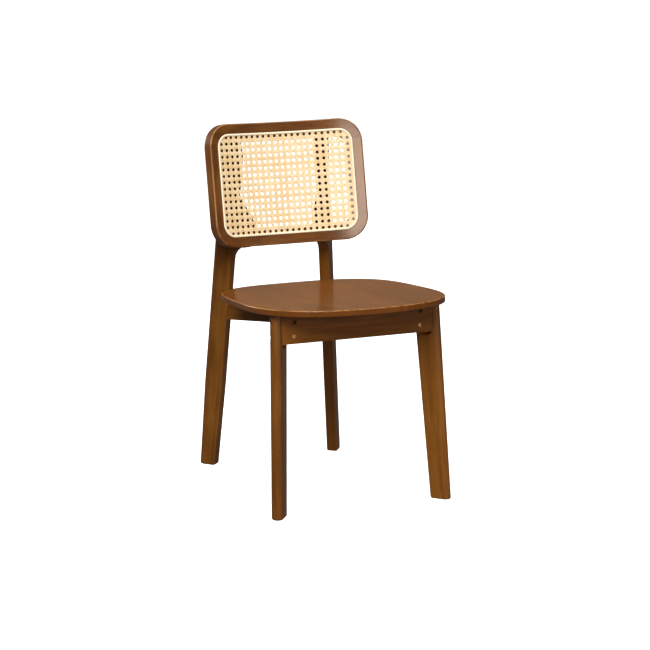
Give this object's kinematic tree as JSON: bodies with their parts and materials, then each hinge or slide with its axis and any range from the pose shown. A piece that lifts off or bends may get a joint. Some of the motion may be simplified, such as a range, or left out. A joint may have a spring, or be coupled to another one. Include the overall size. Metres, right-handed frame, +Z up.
{
  "type": "dining chair",
  "caption": "Wooden dining chair with plank legs on the diagonals, crossed beams, a thin rounded seat and a curved back frame filled with open cane webbing.",
  "frame": {"origin": "centre of the overall box, on the floor", "axes": "+X to the right of someone facing the chair's front, +Y from the seat's front edge towards the back, +Z up"},
  "size_m": [0.4469, 0.5622, 0.7862],
  "materials": {
    "walnut": "satin walnut stain",
    "cane": "natural woven cane strands, matt",
    "reed": "natural reed, matt",
    "beech": "plain turned dowel",
    "brass": "yellow plated, satin",
    "steel": "zinc plated, satin"
  },
  "bodies": {
    "root": {"back_bottom_rail": "walnut", "back_dowel_bottom_1": "beech", "back_dowel_bottom_2": "beech", "back_dowel_top_1": "beech", "back_dowel_top_2": "beech", "back_screw_left_1": "steel", "back_screw_left_2": "steel", "back_screw_right_1": "steel", "back_screw_right_2": "steel", "back_stile_left": "walnut", "back_stile_right": "walnut", "back_top_rail": "walnut", "beam_dowel_a_front_1": "beech", "beam_dowel_a_front_2": "beech", "beam_dowel_a_rear_1": "beech", "beam_dowel_a_rear_2": "beech", "beam_dowel_b_front_1": "beech", "beam_dowel_b_front_2": "beech", "beam_dowel_b_rear_1": "beech", "beam_dowel_b_rear_2": "beech", "cane_panel": "cane", "cane_spline": "reed", "cross_beam_a": "walnut", "cross_beam_b": "walnut", "front_leg_left": "walnut", "front_leg_right": "walnut", "front_rail": "walnut", "rail_barrel_nut_left_1": "brass", "rail_barrel_nut_left_2": "brass", "rail_barrel_nut_right_1": "brass", "rail_barrel_nut_right_2": "brass", "rail_bolt_left_1": "steel", "rail_bolt_left_2": "steel", "rail_bolt_right_1": "steel", "rail_bolt_right_2": "steel", "rear_leg_left": "walnut", "rear_leg_right": "walnut", "seat_panel": "walnut", "seat_screw_1": "steel", "seat_screw_2": "steel", "seat_screw_3": "steel", "seat_screw_4": "steel", "seat_screw_5": "steel", "seat_screw_6": "steel"}
  },
  "joints": []
}
